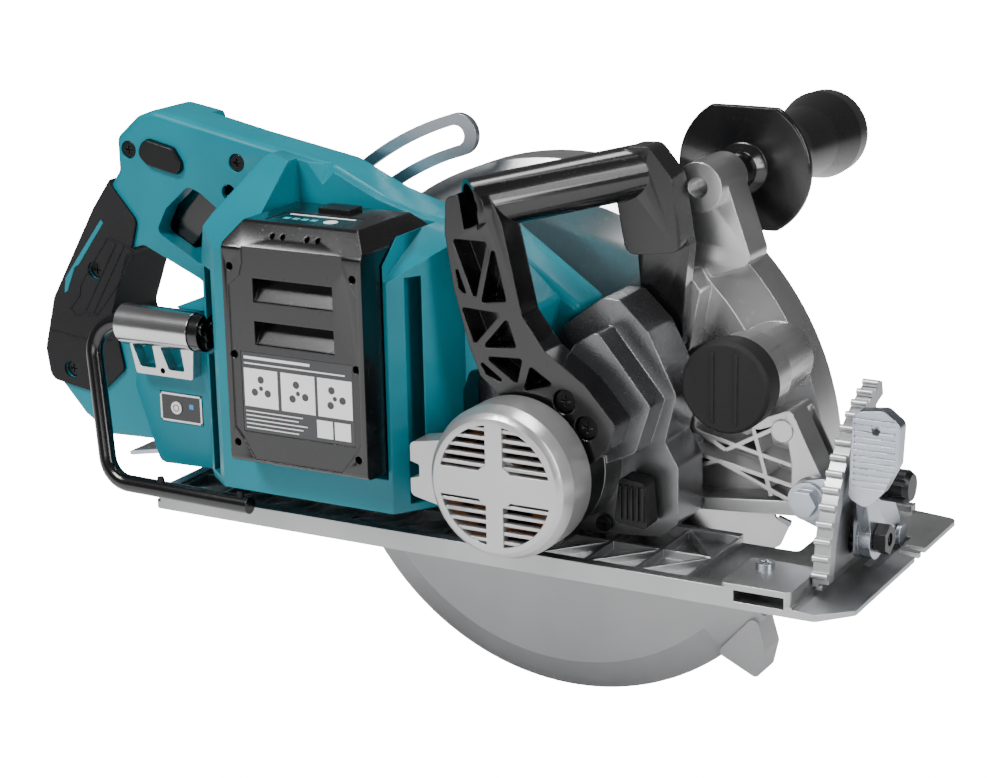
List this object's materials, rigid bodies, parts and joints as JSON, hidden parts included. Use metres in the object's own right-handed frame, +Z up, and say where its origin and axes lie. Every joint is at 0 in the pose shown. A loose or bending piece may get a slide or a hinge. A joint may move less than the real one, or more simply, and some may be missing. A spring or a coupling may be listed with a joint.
{
  "type": "circular saw",
  "caption": "Cordless circular saw with a tilting, depth-adjustable body on a ribbed base, sprung lower guard, geared blade drive, trigger, slide-in battery and folding hook.",
  "frame": {"origin": "on the sole, straight below the blade's arbor, in the blade's mid-plane", "axes": "+X forward in the cutting direction, +Y towards the blade's outer side, +Z up away from the sole"},
  "size_m": [0.4998, 0.29, 0.313],
  "materials": {
    "cast_base": "light cast, satin",
    "zinc_steel": "bluish zinc plate",
    "bright_steel": "ground bright steel",
    "guard_paint": "satin silver paint",
    "guard_grey": "mid grey satin",
    "gear_case": "dark silver cast",
    "blade_steel": "brushed steel with dark printed bands",
    "carbide": "ground carbide",
    "core_steel": "laminated steel",
    "copper": "varnished copper winding",
    "teal_plastic": "teal satin moulding",
    "black_plastic": "black satin moulding",
    "gloss_black": "black gloss moulding",
    "silver_plastic": "light silver moulding",
    "grip_rubber": "dark grey textured rubber",
    "cap_rubber": "matt dark rubber",
    "label_grey": "dark grey printed label",
    "gauge_teal": "charge gauge panel",
    "panel_black": "black panel with light border",
    "brass_pins": "plated contacts",
    "board_green": "potted circuit board"
  },
  "bodies": {
    "base": {"base_plate": "cast_base", "fence_screw": "zinc_steel"},
    "bevel_frame": {"bevel_pins": "zinc_steel", "front_bevel_bracket": "zinc_steel", "front_link_plate": "zinc_steel", "bevel_clamp_bolt": "zinc_steel", "bevel_washer": "zinc_steel", "depth_pivot_pin": "zinc_steel", "rear_bevel_bracket": "zinc_steel"},
    "bevel_lever": {"bevel_lever": "zinc_steel"},
    "bevel_stop_knob": {"bevel_stop_knob": "zinc_steel"},
    "depth_guide": {"depth_guide": "zinc_steel"},
    "saw_body": {"blade_case": "guard_paint", "gear_housing": "gear_case", "bearing_retainer": "zinc_steel", "guard_spring": "core_steel", "stator": "copper", "spindle_bearings": "bright_steel", "rotor_bearings": "bright_steel", "case_screws": "zinc_steel", "motor_housing": "black_plastic", "motor_end_cover": "silver_plastic", "right_shell": "teal_plastic", "left_shell": "teal_plastic", "housing_screws": "zinc_steel", "rear_grip": "grip_rubber", "trigger_pin": "bright_steel", "main_switch": "black_plastic", "terminal_block": "brass_pins", "motor_controller": "board_green", "front_handle": "gloss_black", "handle_screws": "zinc_steel", "side_grip": "grip_rubber", "side_grip_stud": "bright_steel", "dust_cap": "cap_rubber", "hook_bracket": "bright_steel", "hook_end_cap": "black_plastic", "status_panel": "panel_black", "depth_lock_bolt": "zinc_steel"},
    "depth_lever": {"depth_lever": "zinc_steel"},
    "blade_spindle": {"spindle": "bright_steel", "blade_flanges": "zinc_steel", "saw_blade": "blade_steel", "blade_tips": "carbide", "blade_bolt": "zinc_steel", "spindle_gear": "core_steel"},
    "rotor": {"rotor_shaft": "bright_steel", "rotor_core": "core_steel", "cooling_fan": "silver_plastic"},
    "lower_guard": {"lower_guard": "guard_grey", "guard_lever": "black_plastic"},
    "trigger": {"switch_trigger": "black_plastic"},
    "lock_off_button": {"lock_off_button": "black_plastic"},
    "battery": {"battery_case": "gloss_black", "battery_cells": "core_steel", "battery_label": "label_grey", "battery_gauge": "gauge_teal"},
    "battery_release": {"battery_release": "black_plastic"},
    "shaft_lock": {"shaft_lock": "black_plastic"},
    "hook": {"hook_rod": "gloss_black"}
  },
  "joints": [
    {"name": "bevel_tilt", "type": "hinge", "parent": "base", "child": "bevel_frame", "pos_m": [0, 0, 0.007], "axis": [-1, 0, 0], "range_deg": [0, 60]},
    {"name": "bevel_lever_turn", "type": "hinge", "parent": "bevel_frame", "child": "bevel_lever", "pos_m": [0.19, -0.04874, 0.022], "axis": [1, 0, 0], "range_deg": [0, 60]},
    {"name": "bevel_stop_turn", "type": "hinge", "parent": "bevel_frame", "child": "bevel_stop_knob", "pos_m": [0.19, -0.028, 0.042], "axis": [1, 0, 0], "range_deg": [0, 180]},
    {"name": "depth_swing", "type": "hinge", "parent": "bevel_frame", "child": "saw_body", "pos_m": [0.154, -0.03, 0.035], "axis": [0, 1, 0], "range_deg": [0, 30]},
    {"name": "depth_guide_swing", "type": "hinge", "parent": "bevel_frame", "child": "depth_guide", "pos_m": [-0.1644, -0.023, 0.022], "axis": [0, -1, 0], "range_deg": [0, 15.1]},
    {"name": "depth_lever_turn", "type": "hinge", "parent": "saw_body", "child": "depth_lever", "pos_m": [-0.1647, -0.029, 0.046], "axis": [0, -1, 0], "range_deg": [0, 18]},
    {"name": "blade_spin", "type": "hinge", "parent": "saw_body", "child": "blade_spindle", "pos_m": [0, 0, 0.036], "axis": [0, 1, 0], "continuous": true},
    {"name": "rotor_spin", "type": "hinge", "parent": "saw_body", "child": "rotor", "pos_m": [0.031, -0.08, 0.05], "axis": [0, 1, 0], "continuous": true},
    {"name": "guard_swing", "type": "hinge", "parent": "saw_body", "child": "lower_guard", "pos_m": [0, 0, 0.036], "axis": [0, 1, 0], "range_deg": [0, 110], "stiffness_Nm_per_rad": 0.4, "springref_deg": -28.65},
    {"name": "trigger_pull", "type": "hinge", "parent": "saw_body", "child": "trigger", "pos_m": [-0.178, -0.045, 0.164], "axis": [0, 1, 0], "range_deg": [0, 8], "stiffness_Nm_per_rad": 2, "springref_deg": -2.86},
    {"name": "lock_off_slide", "type": "slide", "parent": "saw_body", "child": "lock_off_button", "axis": [0, 1, 0], "range_m": [0, 0.003], "stiffness_N_per_m": 800, "springref_m": -0.001},
    {"name": "battery_slide", "type": "slide", "parent": "saw_body", "child": "battery", "axis": [0, 0, 1], "range_m": [0, 0.13]},
    {"name": "battery_release_press", "type": "slide", "parent": "battery", "child": "battery_release", "axis": [0, 0, -1], "range_m": [0, 0.003], "stiffness_N_per_m": 800, "springref_m": -0.001},
    {"name": "shaft_lock_press", "type": "slide", "parent": "saw_body", "child": "shaft_lock", "axis": [0, 1, 0], "range_m": [0, 0.003], "stiffness_N_per_m": 800, "springref_m": -0.001},
    {"name": "hook_swing", "type": "hinge", "parent": "saw_body", "child": "hook", "pos_m": [-0.18, -0.103, 0.097], "axis": [-1, 0, 0], "range_deg": [0, 90]}
  ],
  "couplings": [
    {"joint": "rotor_spin", "follows": "blade_spin", "ratio": -4.1},
    {"joint": "depth_guide_swing", "follows": "depth_swing", "ratio": 0.5}
  ]
}
